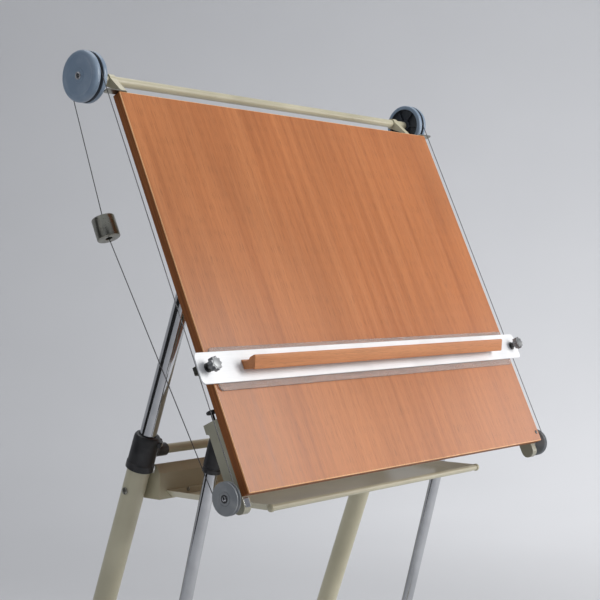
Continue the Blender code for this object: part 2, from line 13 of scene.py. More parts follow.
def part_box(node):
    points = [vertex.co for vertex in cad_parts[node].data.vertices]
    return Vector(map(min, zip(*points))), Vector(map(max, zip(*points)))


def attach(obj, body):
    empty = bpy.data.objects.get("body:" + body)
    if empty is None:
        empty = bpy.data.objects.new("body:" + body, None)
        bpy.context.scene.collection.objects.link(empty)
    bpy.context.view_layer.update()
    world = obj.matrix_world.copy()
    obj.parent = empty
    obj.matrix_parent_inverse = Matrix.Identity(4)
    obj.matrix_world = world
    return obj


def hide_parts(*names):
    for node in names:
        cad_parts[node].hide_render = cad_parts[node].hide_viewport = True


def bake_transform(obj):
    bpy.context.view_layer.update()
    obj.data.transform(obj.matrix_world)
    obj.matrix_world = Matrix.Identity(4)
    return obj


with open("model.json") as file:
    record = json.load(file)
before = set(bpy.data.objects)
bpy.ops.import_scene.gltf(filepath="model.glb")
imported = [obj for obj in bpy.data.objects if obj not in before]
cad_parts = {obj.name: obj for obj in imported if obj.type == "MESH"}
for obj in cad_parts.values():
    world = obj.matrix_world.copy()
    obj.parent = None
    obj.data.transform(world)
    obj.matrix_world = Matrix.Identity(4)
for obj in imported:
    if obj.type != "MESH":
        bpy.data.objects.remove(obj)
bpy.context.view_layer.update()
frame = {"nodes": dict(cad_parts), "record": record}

record = frame["record"]
nodes = frame["nodes"]
joints = {joint["name"]: joint for joint in record["behaviour"]["joints"]}
ratios = {entry["joint"]: entry["ratio"] for entry in record["behaviour"]["couplings"]}
slot_of = {part["node"]: part["material_slot"] for part in record["subparts"]}
body_of = {node: body for body, held in record["behaviour"]["bodies"].items() for node in held}

SMOOTH = 64              # sides of a round piece
TOUCH = 0.0003           # gap between pieces that touch
ROD_R = 0.0045           # radius of each stay's inner rod
STAY_BORE = 0.0113       # radius of the bore in each stay's tube
TUBE_START = 0.013       # from the lower stay pin to the tube
SLEEVE_R = 0.0265        # radius of each clamp collar's sleeve
GROOVE_DEPTH = 0.0012    # from the cable's centre line to the bottom of a pulley's groove
STRAND_SIDES = 10        # sides of a cable
BACK_RUN_STEPS = 80      # rings along a cable's back run, which runs between two bodies
SIDES = (("left", -1), ("right", 1))


# ---------------------------------------------------------------- frames

def basis(x_axis, y_axis, z_axis, origin):
    """Matrix of a local frame given by its axes and its origin in the row frame."""
    matrix = Matrix((x_axis, y_axis, z_axis)).transposed().to_4x4()
    matrix.translation = origin
    return matrix


def around(axis, origin):
    """Local frame whose Z runs along an axis and whose X is the row's X where that is possible."""
    z_axis = Vector(axis).normalized()
    x_axis = Vector((1, 0, 0))
    if abs(z_axis.x) > 0.9:
        x_axis = Vector((0, 1, 0))
    y_axis = z_axis.cross(x_axis).normalized()
    return basis(y_axis.cross(z_axis), y_axis, z_axis, origin)


def local_box(node, matrix):
    """Lowest and highest corner of a CAD node in a local frame."""
    back = matrix.inverted()
    points = [back @ vertex.co for vertex in nodes[node].data.vertices]
    low = Vector([min(point[i] for point in points) for i in range(3)])
    high = Vector([max(point[i] for point in points) for i in range(3)])
    return low, high


RIGHT = Vector((1, 0, 0))
UPHILL = Vector(joints["ruler_slide"]["axis"]).normalized()
OUTWARD = RIGHT.cross(UPHILL)
FACE = basis(RIGHT, UPHILL, OUTWARD, Vector((0, 0, 0)))
board_low, board_high = local_box("drawing_board", FACE)
FACE.translation = FACE @ Vector((0, board_low.y, board_high.z))
BOARD_H = board_high.y - board_low.y
BOARD_HALF = board_high.x
BOARD_T = board_high.z - board_low.z
LEG = around(joints["height_slide"]["axis"], Vector(joints["board_tilt"]["pos_m"]))


# ---------------------------------------------------------------- finishes

class Finish:
    """A Principled material, with short calls for the nodes that give it its detail."""

    def __init__(self, name, roughness, metallic=0.0, **sockets):
        self.material = bpy.data.materials.new(name)
        self.material.use_nodes = True
        self.tree = self.material.node_tree
        self.shader = self.tree.nodes["Principled BSDF"]
        self.shader.inputs["Roughness"].default_value = roughness
        self.shader.inputs["Metallic"].default_value = metallic
        for socket, value in sockets.items():
            self.shader.inputs[socket.replace("_", " ")].default_value = value
        self.place = self.node("ShaderNodeTexCoord").outputs["Object"]

    def node(self, kind, **inputs):
        made = self.tree.nodes.new(kind)
        for socket, value in inputs.items():
            self.feed(made.inputs[socket], value)
        return made

    def feed(self, socket, value):
        if isinstance(value, bpy.types.NodeSocket):
            self.tree.links.new(value, socket)
        else:
            socket.default_value = value

    def turn(self, angle_x):
        """Turn the texture about the row's X, so that its Y follows a sloping piece."""
        self.place = self.node("ShaderNodeMapping", Vector=self.place,
                               Rotation=(angle_x, 0, 0)).outputs["Vector"]

    def noise(self, scale, detail=3.0, distortion=0.0):
        """Noise stretched by (x, y, z) features per metre."""
        place = self.node("ShaderNodeMapping", Vector=self.place, Scale=scale)
        return self.node("ShaderNodeTexNoise", Vector=place.outputs["Vector"], Scale=1.0,
                         Detail=detail, Distortion=distortion).outputs["Fac"]

    def ramp(self, value, *stops):
        """Colours or greys at positions between 0 and 1."""
        made = self.node("ShaderNodeValToRGB", Fac=value)
        elements = made.color_ramp.elements
        while len(elements) < len(stops):
            elements.new(0.5)
        for element, (position, colour) in zip(elements, stops):
            element.position = position
            element.color = (*colour, 1.0) if isinstance(colour, tuple) else (colour,) * 3 + (1.0,)
        return made.outputs["Color"]

    def mix(self, first, second, factor, blend="MIX"):
        made = self.tree.nodes.new("ShaderNodeMix")
        made.data_type = "RGBA"
        made.blend_type = blend
        self.feed(made.inputs[0], factor)
        for socket, value in ((made.inputs[6], first), (made.inputs[7], second)):
            self.feed(socket, (*value, 1.0) if isinstance(value, tuple) else value)
        return made.outputs[2]

    def colour(self, value):
        self.feed(self.shader.inputs["Base Color"], value)

    def rough(self, value, low, high):
        """Roughness between two limits, following a texture."""
        spread = self.node("ShaderNodeMapRange", Value=value)
        spread.inputs["To Min"].default_value = low
        spread.inputs["To Max"].default_value = high
        self.feed(self.shader.inputs["Roughness"], spread.outputs["Result"])

    def bump(self, height, distance, strength=1.0):
        made = self.node("ShaderNodeBump", Height=height, Distance=distance, Strength=strength)
        self.feed(self.shader.inputs["Normal"], made.outputs["Normal"])


SLOPE = -math.atan2(UPHILL.z, UPHILL.y)


def wood(name, dark, middle, light, roughness, along="y"):
    """Straight-grained varnished wood; the grain runs along one axis of the board's frame."""
    finish = Finish(name, roughness, Coat_Weight=0.05, Coat_Roughness=0.3, Specular_IOR_Level=0.4)
    finish.turn(SLOPE)

    def stretch(across, length):
        return (length, across, across) if along == "x" else (across, length, across)

    ribbon = finish.noise(stretch(7.0, 0.45), 3.0, 0.6)
    grain = finish.noise(stretch(60.0, 1.6), 6.0, 0.35)
    streaks = finish.noise(stretch(330.0, 7.0), 4.0, 0.1)
    pores = finish.noise(stretch(1100.0, 38.0), 2.0)
    body = finish.ramp(grain, (0.30, dark), (0.50, middle), (0.72, light))
    body = finish.mix(body, finish.ramp(ribbon, (0.32, dark), (0.62, light)), 0.45)
    body = finish.mix(body, finish.ramp(streaks, (0.36, 0.72), (0.60, 1.0)), 0.30, "MULTIPLY")
    body = finish.mix(body, finish.ramp(pores, (0.34, 0.40), (0.43, 1.0)), 0.45, "MULTIPLY")
    blotches = finish.noise((3.2, 1.5, 3.2), 4.0, 0.8)
    body = finish.mix(body, finish.ramp(blotches, (0.36, 0.80), (0.58, 1.0)), 0.55, "MULTIPLY")
    finish.colour(body)
    finish.rough(grain, roughness - 0.06, roughness + 0.10)
    finish.bump(pores, 0.00012, 0.5)
    return finish.material


def painted(name, colour, shade, roughness):
    """Semi-gloss enamel with orange peel, and a faint darker tone that varies along the metal."""
    finish = Finish(name, roughness, Coat_Weight=0.15, Coat_Roughness=0.2)
    cloud = finish.noise((6.0, 6.0, 6.0), 4.0)
    scuffs = finish.noise((90.0, 90.0, 14.0), 5.0, 1.2)
    body = finish.ramp(cloud, (0.35, shade), (0.60, colour))
    body = finish.mix(body, finish.ramp(scuffs, (0.22, 0.72), (0.30, 1.0)), 0.5, "MULTIPLY")
    finish.colour(body)
    finish.rough(cloud, roughness - 0.05, roughness + 0.12)
    finish.bump(finish.noise((700.0, 700.0, 700.0), 2.0), 0.00005, 0.5)
    return finish.material


def metal(name, colour, shade, roughness, stretch, grain=0.00003, metallic=1.0):
    """Bare or plated metal; the noise is stretched along the marks that the tool left."""
    finish = Finish(name, roughness, metallic)
    marks = finish.noise(stretch, 4.0)
    cloud = finish.noise((14.0, 14.0, 14.0), 4.0, 0.5)
    finish.colour(finish.mix(finish.ramp(cloud, (0.35, shade), (0.62, colour)),
                             finish.ramp(marks, (0.30, 0.82), (0.70, 1.0)), 0.4, "MULTIPLY"))
    finish.rough(marks, roughness * 0.75, roughness * 1.35)
    finish.bump(marks, grain, 0.4)
    return finish.material


def moulded(name, colour, highlight, roughness, grain=900.0):
    """Moulded plastic or rubber with a fine grained skin and some dust."""
    finish = Finish(name, roughness)
    dust = finish.noise((30.0, 30.0, 30.0), 5.0, 0.6)
    skin = finish.noise((grain, grain, grain), 2.0)
    finish.colour(finish.ramp(dust, (0.40, colour), (0.78, highlight)))
    finish.rough(dust, roughness - 0.06, roughness + 0.12)
    finish.bump(skin, 0.00006, 0.6)
    return finish.material


def clear_plastic():
    """Clear acrylic sheet with fine scratches."""
    finish = Finish("clear_acrylic", 0.05, 0.0, Transmission_Weight=0.84, IOR=1.42)
    scratches = finish.noise((900.0, 30.0, 900.0), 4.0, 0.4)
    finish.colour(finish.ramp(scratches, (0.30, (0.96, 0.91, 0.88)), (0.60, (1.0, 0.98, 0.96))))
    finish.rough(scratches, 0.06, 0.22)
    finish.bump(scratches, 0.00002, 0.3)
    return finish.material


def stranded():
    """Steel cable: twisted strands as a bump, and painted shade as dark lines between them."""
    finish = Finish("stranded_steel", 0.4, 1.0)
    finish.turn(SLOPE)
    lay = finish.node("ShaderNodeMapping", Vector=finish.place, Rotation=(0.6, 0, 0.6), Scale=(900, 900, 900))
    wave = finish.node("ShaderNodeTexWave", Vector=lay.outputs["Vector"], Scale=1.0, Distortion=0.6)
    strands = wave.outputs["Fac"]
    # Painted shade: the dark end of the ramp falls in the valleys between the strands.
    finish.colour(finish.ramp(strands, (0.2, (0.05, 0.05, 0.055)), (0.8, (0.22, 0.22, 0.23))))
    finish.bump(strands, 0.0002, 0.8)
    return finish.material


def shaded_ply_edge():
    """Edge of the board, painted dark as shade on its sides, with thin layers of wood across its thickness.
    """
    finish = Finish("board_edge_shade", 0.62, 0.0, Specular_IOR_Level=0.25)
    finish.turn(SLOPE)
    layers = finish.noise((6.0, 3.0, 420.0), 3.0, 0.1)
    fibres = finish.noise((260.0, 12.0, 260.0), 4.0, 0.2)
    body = finish.ramp(layers, (0.36, (0.190, 0.058, 0.014)), (0.52, (0.330, 0.110, 0.028)),
                       (0.66, (0.200, 0.064, 0.017)))
    finish.colour(finish.mix(body, finish.ramp(fibres, (0.35, 0.6), (0.60, 1.0)), 0.5, "MULTIPLY"))
    finish.bump(fibres, 0.0001, 0.5)
    return finish.material


FINISHES = {
    "veneer": wood("veneer", (0.39, 0.120, 0.032), (0.50, 0.168, 0.049), (0.57, 0.212, 0.072), 0.38),
    "beech": wood("beech", (0.42, 0.14, 0.045), (0.56, 0.21, 0.075), (0.64, 0.27, 0.105), 0.4, "x"),
    "cream_paint": painted("cream_paint", (0.55, 0.515, 0.375), (0.45, 0.42, 0.30), 0.32),
    "chrome": metal("chrome", (0.56, 0.57, 0.59), (0.48, 0.49, 0.51), 0.08, (60.0, 60.0, 60.0)),
    "steel": metal("steel", (0.34, 0.335, 0.295), (0.22, 0.215, 0.19), 0.28, (500.0, 30.0, 500.0)),
    "aluminium": metal("aluminium", (0.84, 0.85, 0.87), (0.78, 0.79, 0.81), 0.46, (12.0, 900.0, 900.0),
                       0.00003,
                       0.25),
    "acrylic": clear_plastic(),
    "pulley_plastic": moulded("pulley_plastic", (0.20, 0.27, 0.36), (0.26, 0.33, 0.42), 0.32),
    "grey_plastic": moulded("grey_plastic", (0.20, 0.215, 0.23), (0.30, 0.31, 0.32), 0.4),
    "black_plastic": moulded("black_plastic", (0.012, 0.012, 0.014), (0.045, 0.045, 0.048), 0.38),
    "rubber": moulded("rubber", (0.018, 0.018, 0.018), (0.06, 0.058, 0.055), 0.75, 500.0),
    "steel_cable": stranded(),
}
# Painted shade: the board's edges are coloured darker than its face.
SHADED_BOARD_EDGE = shaded_ply_edge()
# Painted highlight: pale wood on the rounded arris, where the edge catches the light.
ARRIS_HIGHLIGHT = wood("arris_highlight", (0.74, 0.32, 0.12), (0.90, 0.48, 0.22), (0.95, 0.58, 0.30), 0.32)
# Painted shade: a darker copy of the cream paint for the tension bars.
SHADED_BAR_PAINT = painted("bar_paint_shade", (0.36, 0.345, 0.265), (0.29, 0.28, 0.215), 0.38)
# Painted shade: a darker copy of the cream paint for the crossbeam, whose front lies under the board.
SHADED_BEAM_PAINT = painted("beam_paint_shade", (0.47, 0.43, 0.30), (0.40, 0.365, 0.25), 0.36)
SHADED_PLASTIC = moulded("shaded_plastic", (0.030, 0.038, 0.050), (0.060, 0.072, 0.088), 0.45)
KNOB_METAL = metal("knob_metal", (0.30, 0.31, 0.32), (0.20, 0.205, 0.21), 0.42, (90.0, 90.0, 90.0))
DARK_SCREW = metal("dark_screw", (0.10, 0.10, 0.10), (0.05, 0.05, 0.05), 0.35, (80.0, 80.0, 80.0))


# ---------------------------------------------------------------- shapes

def arc(centre, radius, start, end, count):
    """Points on an arc, angles in degrees."""
    span = [math.radians(start + (end - start) * i / count) for i in range(count + 1)]
    return [(centre[0] + radius * math.cos(a), centre[1] + radius * math.sin(a)) for a in span]


def round_rect(low, high, radius, count=8):
    """Outline of a rectangle with round corners."""
    turns = (((high[0] - radius, high[1] - radius), 0), ((low[0] + radius, high[1] - radius), 90),
             ((low[0] + radius, low[1] + radius), 180), ((high[0] - radius, low[1] + radius), 270))
    return [point for centre, start in turns for point in arc(centre, radius, start, start + 90, count)]


def lathe(profile, steps=SMOOTH, closed=False):
    """Turn (radius, height) about Z. A closed profile leaves a bore."""
    bm = bmesh.new()
    points = [bm.verts.new((radius, 0.0, height)) for radius, height in profile]
    edges = [bm.edges.new(pair) for pair in zip(points, points[1:])]
    if closed:
        edges.append(bm.edges.new((points[-1], points[0])))
    bmesh.ops.spin(bm, geom=points + edges, cent=(0, 0, 0), axis=(0, 0, 1), angle=2 * math.pi,
                   steps=steps, use_merge=True)
    bmesh.ops.remove_doubles(bm, verts=bm.verts, dist=0.000005)
    return bm


def prism(outline, low, high):
    """Extrude an outline from Z = low to high."""
    bm = bmesh.new()
    bm.faces.new([bm.verts.new((x, y, low)) for x, y in outline])
    extruded = bmesh.ops.extrude_face_region(bm, geom=bm.faces[:])
    moved = [item for item in extruded["geom"] if isinstance(item, bmesh.types.BMVert)]
    bmesh.ops.translate(bm, vec=(0, 0, high - low), verts=moved)
    return bm


def piece(name, bm, matrix, slot, body, stands_for=(), bevel=0.0, material=None):
    """Put a shape in the scene in the row frame, with its finish, riding on a body."""
    bmesh.ops.transform(bm, matrix=matrix, verts=bm.verts)
    bmesh.ops.recalc_face_normals(bm, faces=bm.faces)
    mesh = bpy.data.meshes.new(name)
    bm.to_mesh(mesh)
    bm.free()
    mesh.shade_smooth()
    mesh.set_sharp_from_angle(angle=math.radians(32))
    mesh.materials.append(material or FINISHES[slot])
    made = bpy.data.objects.new(name, mesh)
    bpy.context.scene.collection.objects.link(made)
    if bevel:
        soften(made, bevel)
    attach(made, body)
    if stands_for:
        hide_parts(*stands_for)
    return made


def soften(made, width, segments=2):
    """Round the sharp edges of a piece."""
    bevel = made.modifiers.new("Bevel", "BEVEL")
    bevel.width = width
    bevel.segments = segments
    bevel.limit_method = "ANGLE"
    bevel.angle_limit = math.radians(40)
    bevel.harden_normals = True


def shift(matrix, x=0.0, y=0.0, z=0.0):
    """The same local frame with its origin moved along its own axes."""
    return matrix @ Matrix.Translation((x, y, z))


def dome(radius, height, count=8):
    """Profile of a domed end, from its rim to the pole on the axis."""
    return [(radius * math.cos(a), height * math.sin(a))
            for a in (math.pi / 2 * i / count for i in range(count + 1))]


def screw_head(name, radius, height, matrix, slot, body, stands_for=(), material=None):
    """Domed machine screw head, cut by a slot, standing on the frame's XY plane."""
    half_slot = radius * 0.14
    reach = radius * 1.3
    profile = [(0, 0), (radius, 0), (radius, height * 0.25)]
    profile += [(r, height * 0.25 + z) for r, z in dome(radius * 0.98, height * 0.75)[1:]]
    bm = lathe(profile, 32)
    made = piece(name, bm, matrix, slot, body, stands_for, 0.0, material)
    outline = [(-reach, -half_slot), (reach, -half_slot), (reach, half_slot), (-reach, half_slot)]
    cut(made, prism(outline, height * 0.45, height * 2.0), matrix)
    return made


def cut(made, bm, matrix):
    """Cut one shape out of a piece and keep the result as its mesh."""
    bmesh.ops.transform(bm, matrix=matrix, verts=bm.verts)
    bmesh.ops.recalc_face_normals(bm, faces=bm.faces)
    mesh = bpy.data.meshes.new("cutter")
    bm.to_mesh(mesh)
    bm.free()
    cutter = bpy.data.objects.new("cutter", mesh)
    bpy.context.scene.collection.objects.link(cutter)
    boolean = made.modifiers.new("Cut", "BOOLEAN")
    boolean.operation = "DIFFERENCE"
    boolean.object = cutter
    boolean.solver = "EXACT"
    bpy.context.view_layer.update()
    graph = bpy.context.evaluated_depsgraph_get()
    result = bpy.data.meshes.new_from_object(made.evaluated_get(graph))
    made.modifiers.remove(boolean)
    old = made.data
    made.data = result
    bpy.data.meshes.remove(old)
    bpy.data.objects.remove(cutter)


# ---------------------------------------------------------------- board

def drawing_board():
    """The board: veneered face, rounded arris all round painted pale as a highlight, and dark layered edges
    painted as shade.
    """
    bm = bmesh.new()
    bmesh.ops.create_cube(bm, size=1.0)
    size = Vector((2 * BOARD_HALF, BOARD_H, BOARD_T))
    bmesh.ops.transform(bm, matrix=Matrix.LocRotScale(Vector((0, BOARD_H / 2, -BOARD_T / 2)), None, size),
                        verts=bm.verts)
    bmesh.ops.bevel(bm, geom=bm.edges[:], offset=0.0017, segments=4, profile=0.5, affect="EDGES")
    # Faces: 0 the veneer, 1 the edges with painted shade, 2 the rounded arris with a painted highlight.
    for face in bm.faces:
        if abs(face.normal.z) > 0.99:
            face.material_index = 0
        elif face.calc_center_median().z > -0.0018:
            face.material_index = 2
        else:
            face.material_index = 1
    board = piece("board_panel", bm, FACE, "veneer", "board", ["drawing_board"])
    # Second finish: the edges, painted dark as shade.
    board.data.materials.append(SHADED_BOARD_EDGE)
    # Third finish: the rounded arris, a painted highlight.
    board.data.materials.append(ARRIS_HIGHLIGHT)
    screw_head("board_screw", 0.0042, 0.0014, shift(FACE, BOARD_HALF - 0.0102, 0.0195, 0.0), "steel", "board",
               material=DARK_SCREW)


def ruler():
    """White straightedge, its clear drawing edges and the wooden grip with a coved upper side."""
    low, high = local_box("ruler", FACE)
    blade = round_rect((low.x, low.y), (high.x, high.y), 0.010)
    piece("straightedge", prism(blade, low.z, high.z), FACE, "aluminium", "ruler_group", ["ruler"], 0.0007)

    low, high = local_box("clear_edge", FACE)
    sheet = round_rect((low.x, low.y), (high.x, high.y), 0.008)
    piece("clear_blade", prism(sheet, low.z, high.z), FACE, "acrylic", "ruler_group", ["clear_edge"], 0.0004)

    low, high = local_box("grip", FACE)
    base = local_box("ruler", FACE)[1].z + TOUCH
    section = [(-0.0075, 0.0), (0.0098, 0.0), (0.0096, 0.0016)]
    section += [(0.0036 + 0.0060 * (1 - math.sin(a)), 0.0016 + 0.0150 * (1 - math.cos(a)))
                for a in (math.radians(10 * i) for i in range(1, 10))]
    section += arc((0.0030, 0.0222), 0.0040, -35, 20, 4)
    section += arc((0.0042, 0.0305), 0.0028, 10, 125, 8)
    section += arc((-0.0132, 0.0212), 0.0028, 125, 245, 8)
    outline = [(low.y + 0.0160 + v, base + n) for v, n in section]
    side_on = basis(UPHILL, OUTWARD, RIGHT, FACE.translation)
    piece("wooden_grip", prism(outline, low.x, high.x), side_on, "beech", "ruler_group", ["grip"], 0.0009)


def lobed_outline(radius, depth, lobes, per_lobe=12):
    """Wavy outline of a knob."""
    count = lobes * per_lobe
    outline = []
    for i in range(count):
        turn = 2 * math.pi * i / count
        reach = radius - depth * (0.5 - 0.5 * math.cos(lobes * turn))
        outline.append((reach * math.cos(turn), reach * math.sin(turn)))
    return outline


def ruler_knob(side):
    """Fluted metal knob on a dark stem, with a shallow dish in its top."""
    node = f"ruler_knob_{side}"
    low, high = local_box(node, FACE)
    here = shift(FACE, (low.x + high.x) / 2, (low.y + high.y) / 2, low.z)
    height = high.z - low.z
    radius = (high.x - low.x) / 2
    body = body_of[node]
    head = prism(lobed_outline(radius + 0.0010, 0.0028, 9, 12), height * 0.48, height * 0.95)
    piece(f"knob_head_{side}", head, here, "steel", body, [node], 0.0012, KNOB_METAL)
    dish = [(0, height * 0.945), (radius * 0.72, height * 0.945), (radius * 0.68, height * 0.975),
            (radius * 0.40, height * 0.995), (0, height)]
    piece(f"knob_cap_{side}", lathe(dish), here, "steel", body, (), 0.0, KNOB_METAL)
    stem = [(0, 0), (0.0085, 0), (0.0085, 0.0018), (0.0080, 0.0025), (0.0050, 0.0030), (0.0046, 0.0045),
            (0.0046, height * 0.43), (0, height * 0.43)]
    piece(f"knob_stem_{side}", lathe(stem), here, "steel", body, (), 0.0, DARK_SCREW)


def cable_clamp_screw(side):
    """Two small screws under the clamp that holds the cable to the ruler's end."""
    low, high = local_box(f"cable_clamp_{side}", FACE)
    middle = (low.x + high.x) / 2
    for place in (low.y + 0.004, high.y - 0.004):
        here = shift(FACE, middle, place, low.z) @ Matrix.Rotation(math.pi, 4, "X")
        screw_head(f"clamp_screw_{side}_{place:.3f}".replace(".", "_"), 0.0024, 0.0012, here, "steel",
                   "ruler_group")


# ---------------------------------------------------------------- cables and pulleys

def wheel_frame(joint, sign):
    """Frame of a wheel on a joint's axis: Z outwards, X up the board."""
    outwards = Vector((sign, 0, 0))
    origin = Vector(joints[joint]["pos_m"])
    return basis(UPHILL, outwards.cross(UPHILL), outwards, origin)


def top_pulley(side, sign):
    """Moulded pulley: rounded rims, cable groove, dished outer face, ribbed hollow inner side."""
    node = f"top_pulley_{side}"
    here = wheel_frame("top_shaft_spin", sign)
    low, high = local_box(node, here)
    rim = high.x
    groove = 1 / abs(ratios["top_shaft_spin"]) - GROOVE_DEPTH
    cable_low, cable_high = local_box(f"cable_{side}", FACE)
    middle = abs(cable_low.x + cable_high.x) / 2
    inside, outside = low.z - middle, high.z - middle
    here = shift(here, 0, 0, middle)
    profile = [(0, inside + 0.004), (0.0125, inside + 0.004), (0.0130, inside + 0.0045),
               (0.0135, inside + 0.0095),
               (0.0355, inside + 0.0100), (0.0370, inside + 0.0090), (0.0378, inside + 0.0006),
               (0.0386, inside), (rim - 0.0030, inside), (rim - 0.0012, inside + 0.0006),
               (rim - 0.0002, inside + 0.0020), (rim, inside + 0.0040), (rim, -0.0046),
               (rim - 0.0006, -0.0036)]
    profile += [(groove + 0.0022 * (1 - math.cos(a)), 0.0016 * math.sin(a))
                for a in (math.radians(angle) for angle in range(-80, 81, 20))]
    profile += [(rim - 0.0006, 0.0036), (rim, 0.0046), (rim, outside - 0.0075),
                (rim - 0.0006, outside - 0.0050),
                (rim - 0.0022, outside - 0.0022), (rim - 0.0045, outside - 0.0006), (rim - 0.0070, outside),
                (rim - 0.0100, outside - 0.0003), (rim - 0.0120, outside - 0.0016),
                (rim - 0.0150, outside - 0.0022),
                (0.0130, outside - 0.0024), (0.0120, outside - 0.0010), (0.0085, outside - 0.0008),
                (0, outside - 0.0008)]
    wheel = lathe(profile, 96)
    for face in wheel.faces:
        centre = face.calc_center_median()
        in_groove = rim - 0.0010 > centre.xy.length > 0.039 and abs(centre.z) < 0.0040
        in_hollow = centre.xy.length < 0.0385 and centre.z < inside + 0.0102
        face.material_index = int(in_groove or in_hollow)
    made = piece(f"pulley_{side}", wheel, here, "pulley_plastic", "top_shaft_group", [node])
    made.data.materials.append(SHADED_PLASTIC)
    rib = [(0.0128, inside + 0.0025), (0.0374, inside + 0.0025), (0.0374, inside + 0.0105),
           (0.0128, inside + 0.0105)]
    for i in range(6):
        turned = here @ Matrix.Rotation(math.radians(60 * i), 4, "Z") @ Matrix.Rotation(math.pi / 2, 4, "X")
        piece(f"pulley_rib_{side}_{i}", prism(rib, -0.0010, 0.0010), turned, "pulley_plastic",
              "top_shaft_group",
              (), 0.0003, SHADED_PLASTIC)
    screw_head(f"pulley_bolt_{side}", 0.0074, 0.0036, shift(here, 0, 0, outside - 0.0009), "steel",
               "top_shaft_group",
               stands_for=[f"pulley_screw_{side}"], material=FINISHES["chrome"])


def lower_pulley(side, sign):
    """Small guide pulley: flat grey disc, dark ring round the hub and a bright axle screw."""
    node = f"lower_pulley_{side}"
    here = wheel_frame(f"lower_pulley_spin_{side}", sign)
    here.translation.x = 0
    low, high = local_box(node, here)
    middle = abs(joints[f"lower_pulley_spin_{side}"]["pos_m"][0])
    here = shift(here, 0, 0, middle)
    rim, back = high.x, low.z - middle
    groove = 1 / abs(ratios[f"lower_pulley_spin_{side}"]) - GROOVE_DEPTH
    profile = [(0, back), (0.0060, back), (0.0068, back + 0.0006), (0.0070, -0.0052), (rim - 0.0022, -0.0050),
               (rim - 0.0008, -0.0046), (rim, -0.0038), (rim, -0.0030), (rim - 0.0004, -0.0025),
               (groove + 0.0004, -0.0011), (groove, 0), (groove + 0.0004, 0.0011), (rim - 0.0004, 0.0025),
               (rim, 0.0030), (rim, 0.0043), (rim - 0.0005, 0.0052), (rim - 0.0016, 0.0056),
               (rim - 0.0040, 0.0052), (0.0130, 0.0048), (0.0122, 0.0040), (0.0110, 0.0040), (0.0104, 0.0052),
               (0.0080, 0.0056), (0, 0.0056)]
    body = body_of[node]
    piece(f"guide_pulley_{side}", lathe(profile, 80), here, "grey_plastic", body, [node])
    ring = [(0.0040, 0.0055), (0.0072, 0.0055), (0.0070, 0.0064), (0.0046, 0.0067), (0.0040, 0.0062)]
    piece(f"guide_ring_{side}", lathe(ring, SMOOTH, True), here, "black_plastic", body)
    screw_head(f"guide_bolt_{side}", 0.0046, 0.0024, shift(here, 0, 0, 0.0057), "steel", body,
               material=FINISHES["chrome"])


def strand(points, radius):
    """Round cable along points that share one X, closed at both ends."""
    bm = bmesh.new()
    turns = [2 * math.pi * k / STRAND_SIDES for k in range(STRAND_SIDES)]
    rings = []
    for i, point in enumerate(points):
        before = Vector(points[max(i - 1, 0)])
        after = Vector(points[min(i + 1, len(points) - 1)])
        across = (after - before).normalized().cross(RIGHT).normalized()
        rings.append([bm.verts.new(Vector(point) + radius * (math.cos(t) * across + math.sin(t) * RIGHT))
                      for t in turns])
    for first, second in zip(rings, rings[1:]):
        for k in range(STRAND_SIDES):
            after = (k + 1) % STRAND_SIDES
            bm.faces.new((first[k], first[after], second[after], second[k]))
    bm.faces.new(rings[0])
    bm.faces.new(rings[-1])
    return bm


def tangent_angle(centre, radius, point, turn):
    """Angle on a circle where a line to the point leaves it; turn is +1 or -1."""
    offset = Vector(point) - Vector(centre)
    return math.degrees(math.atan2(offset.y, offset.x) + turn * math.acos(radius / offset.length))


def cable(side, sign):
    """Cable loop: one run over both pulleys, and two back runs that follow the counterweight."""
    node = f"cable_{side}"
    low, high = local_box(node, FACE)
    radius = (high.x - low.x) / 2
    x = (low.x + high.x) / 2
    board_side = FACE.inverted()
    top = board_side @ Vector(joints["top_shaft_spin"]["pos_m"])
    bottom = board_side @ Vector(joints[f"lower_pulley_spin_{side}"]["pos_m"])
    top_wrap = 1 / abs(ratios["top_shaft_spin"])
    low_wrap = 1 / abs(ratios[f"lower_pulley_spin_{side}"])
    weight_low, weight_high = local_box(f"counterweight_{side}", FACE)
    weight_n = (weight_low.z + weight_high.z) / 2
    above = (weight_high.y + TOUCH, weight_n)
    below = (weight_low.y - TOUCH, weight_n)
    leave_top = tangent_angle((top.y, top.z), top_wrap, above, 1) % 360
    leave_low = tangent_angle((bottom.y, bottom.z), low_wrap, below, -1) % 360
    over = arc((top.y, top.z), top_wrap, leave_top - 360, 90, 60)
    under = arc((bottom.y, bottom.z), low_wrap, 90, leave_low, 48)
    route = [(x, v, n) for v, n in over + under]
    piece(f"cable_run_{side}", strand(route, radius), FACE, "steel_cable", "board", [node])
    for part, start, end in (("upper", over[0], above), ("lower", under[-1], below)):
        steps = [i / BACK_RUN_STEPS for i in range(BACK_RUN_STEPS + 1)]
        line = [(x, start[0] + (end[0] - start[0]) * t, start[1] + (end[1] - start[1]) * t) for t in steps]
        made = back_run(f"cable_{part}_{side}", strand(line, radius))
        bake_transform(made)


def back_run(name, bm):
    """Put a cable run in the scene that rides on no single body, since it runs between two."""
    bmesh.ops.transform(bm, matrix=FACE, verts=bm.verts)
    bmesh.ops.recalc_face_normals(bm, faces=bm.faces)
    mesh = bpy.data.meshes.new(name)
    bm.to_mesh(mesh)
    bm.free()
    mesh.shade_smooth()
    mesh.materials.append(FINISHES["steel_cable"])
    made = bpy.data.objects.new(name, mesh)
    bpy.context.scene.collection.objects.link(made)
    return made


